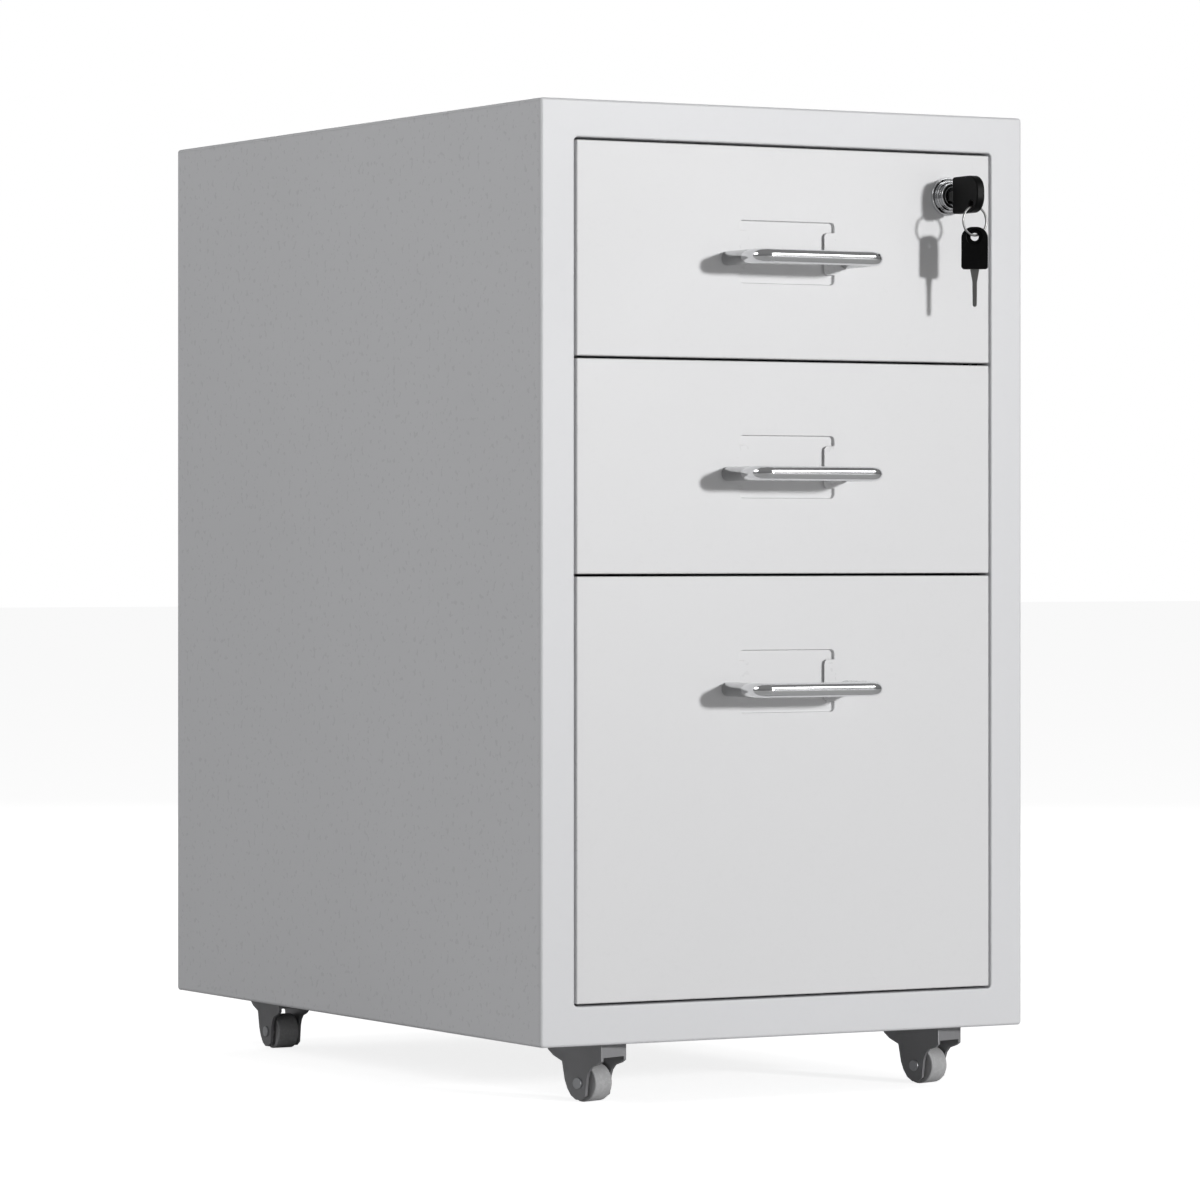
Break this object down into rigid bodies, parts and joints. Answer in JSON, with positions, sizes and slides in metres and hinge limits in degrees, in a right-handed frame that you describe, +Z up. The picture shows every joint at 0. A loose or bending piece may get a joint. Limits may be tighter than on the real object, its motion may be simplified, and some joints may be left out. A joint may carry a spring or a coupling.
{
  "type": "mobile filing cabinet",
  "caption": "Mobile steel pedestal with box drawers over a file drawer, chrome bar handles, a cam lock with keys, and swivel casters.",
  "frame": {"origin": "on the floor, under the middle of the whole object with its handles", "axes": "+Z up, the drawers open towards -Y, +X to the right when facing the drawers"},
  "size_m": [0.39, 0.6294, 0.687],
  "materials": {
    "casing_paint": "fine satin powder coat, light grey white",
    "front_paint": "fine satin powder coat, light grey white",
    "tray_paint": "satin powder coat",
    "zinc_steel": "bright zinc plate",
    "handle_chrome": "polished chrome",
    "lock_chrome": "polished chrome",
    "key_steel": "nickel plate",
    "key_plastic": "black moulded plastic",
    "guide_plastic": "black moulded plastic",
    "caster_steel": "dull plating on pressed steel",
    "wheel_plastic": "light grey moulded plastic"
  },
  "bodies": {
    "casing": {"side_panel_left": "casing_paint", "side_panel_right": "casing_paint", "top_panel": "casing_paint", "back_panel": "casing_paint", "base_panel": "casing_paint", "front_frame": "casing_paint", "slide_posts": "zinc_steel", "cabinet_rails_1": "zinc_steel", "cabinet_rails_2": "zinc_steel", "cabinet_rails_3": "zinc_steel", "rail_screws": "zinc_steel", "bar_guides": "guide_plastic", "caster_plates": "zinc_steel", "caster_kingpins": "zinc_steel", "caster_bolts": "zinc_steel"},
    "slide_1": {"middle_rails_1": "zinc_steel"},
    "slide_2": {"middle_rails_2": "zinc_steel"},
    "slide_3": {"middle_rails_3": "zinc_steel"},
    "drawer_1": {"drawer_front_1": "front_paint", "drawer_tray_1": "tray_paint", "drawer_rails_1": "zinc_steel", "handle_1": "handle_chrome", "handle_screws_1": "zinc_steel", "lock_stud_1": "zinc_steel", "lock_housing": "lock_chrome", "lock_nut": "zinc_steel"},
    "drawer_2": {"drawer_front_2": "front_paint", "drawer_tray_2": "tray_paint", "drawer_rails_2": "zinc_steel", "handle_2": "handle_chrome", "handle_screws_2": "zinc_steel", "lock_stud_2": "zinc_steel"},
    "drawer_3": {"drawer_front_3": "front_paint", "drawer_tray_3": "tray_paint", "drawer_rails_3": "zinc_steel", "handle_3": "handle_chrome", "handle_screws_3": "zinc_steel", "lock_stud_3": "zinc_steel", "file_bars": "zinc_steel"},
    "plug": {"lock_plug": "lock_chrome", "lock_cam": "zinc_steel", "cam_screw": "zinc_steel"},
    "lock_bar": {"lock_bar": "zinc_steel"},
    "key": {"key_blade": "key_steel", "key_head": "key_plastic"},
    "ring": {"key_ring": "key_steel"},
    "spare_key": {"spare_blade": "key_steel", "spare_head": "key_plastic"},
    "caster_1": {"caster_fork_1": "caster_steel", "caster_axle_1": "zinc_steel"},
    "wheel_1": {"caster_wheel_1": "wheel_plastic"},
    "caster_2": {"caster_fork_2": "caster_steel", "caster_axle_2": "zinc_steel"},
    "wheel_2": {"caster_wheel_2": "wheel_plastic"},
    "caster_3": {"caster_fork_3": "caster_steel", "caster_axle_3": "zinc_steel"},
    "wheel_3": {"caster_wheel_3": "wheel_plastic"},
    "caster_4": {"caster_fork_4": "caster_steel", "caster_axle_4": "zinc_steel"},
    "wheel_4": {"caster_wheel_4": "wheel_plastic"}
  },
  "joints": [
    {"name": "drawer_1_slide", "type": "slide", "parent": "casing", "child": "drawer_1", "axis": [0, -1, 0], "range_m": [0, 0.5]},
    {"name": "slide_1_extend", "type": "slide", "parent": "casing", "child": "slide_1", "axis": [0, -1, 0], "range_m": [0, 0.25]},
    {"name": "drawer_2_slide", "type": "slide", "parent": "casing", "child": "drawer_2", "axis": [0, -1, 0], "range_m": [0, 0.5]},
    {"name": "slide_2_extend", "type": "slide", "parent": "casing", "child": "slide_2", "axis": [0, -1, 0], "range_m": [0, 0.25]},
    {"name": "drawer_3_slide", "type": "slide", "parent": "casing", "child": "drawer_3", "axis": [0, -1, 0], "range_m": [0, 0.5]},
    {"name": "slide_3_extend", "type": "slide", "parent": "casing", "child": "slide_3", "axis": [0, -1, 0], "range_m": [0, 0.25]},
    {"name": "key_turn", "type": "hinge", "parent": "drawer_1", "child": "plug", "pos_m": [0.13175, -0.26525, 0.62925], "axis": [0, 1, 0], "range_deg": [0, 90]},
    {"name": "lock_bar_drop", "type": "slide", "parent": "casing", "child": "lock_bar", "axis": [0, 0, -1], "range_m": [0, 0.00848]},
    {"name": "key_pull", "type": "slide", "parent": "plug", "child": "key", "axis": [0, -1, 0], "range_m": [0, 0.03]},
    {"name": "ring_swing", "type": "hinge", "parent": "key", "child": "ring", "pos_m": [0.13175, -0.30125, 0.62185], "axis": [1, 0, 0], "range_deg": [-12, 20]},
    {"name": "spare_key_swing", "type": "hinge", "parent": "ring", "child": "spare_key", "pos_m": [0.13175, -0.30125, 0.59915], "axis": [0.5878, 0.809, 0], "range_deg": [-18, 18]},
    {"name": "caster_1_swivel", "type": "hinge", "parent": "casing", "child": "caster_1", "pos_m": [-0.137, -0.21425, 0.039], "axis": [0, 0, 1], "continuous": true},
    {"name": "wheel_1_roll", "type": "hinge", "parent": "caster_1", "child": "wheel_1", "pos_m": [-0.13376, -0.22424, 0.013], "axis": [-0.9511, -0.309, 0], "continuous": true},
    {"name": "caster_2_swivel", "type": "hinge", "parent": "casing", "child": "caster_2", "pos_m": [0.137, -0.21425, 0.039], "axis": [0, 0, 1], "continuous": true},
    {"name": "wheel_2_roll", "type": "hinge", "parent": "caster_2", "child": "wheel_2", "pos_m": [0.14025, -0.22424, 0.013], "axis": [-0.9511, -0.309, 0], "continuous": true},
    {"name": "caster_3_swivel", "type": "hinge", "parent": "casing", "child": "caster_3", "pos_m": [-0.137, 0.26375, 0.039], "axis": [0, 0, 1], "continuous": true},
    {"name": "wheel_3_roll", "type": "hinge", "parent": "caster_3", "child": "wheel_3", "pos_m": [-0.137, 0.25325, 0.013], "axis": [-1, 0, 0], "continuous": true},
    {"name": "caster_4_swivel", "type": "hinge", "parent": "casing", "child": "caster_4", "pos_m": [0.137, 0.26375, 0.039], "axis": [0, 0, 1], "continuous": true},
    {"name": "wheel_4_roll", "type": "hinge", "parent": "caster_4", "child": "wheel_4", "pos_m": [0.13428, 0.25361, 0.013], "axis": [-0.9659, 0.2588, 0], "continuous": true}
  ],
  "couplings": [
    {"joint": "slide_1_extend", "follows": "drawer_1_slide", "ratio": 0.5},
    {"joint": "slide_2_extend", "follows": "drawer_2_slide", "ratio": 0.5},
    {"joint": "slide_3_extend", "follows": "drawer_3_slide", "ratio": 0.5},
    {"joint": "key_turn", "follows": "lock_bar_drop", "rad_per_m": 185.11}
  ]
}
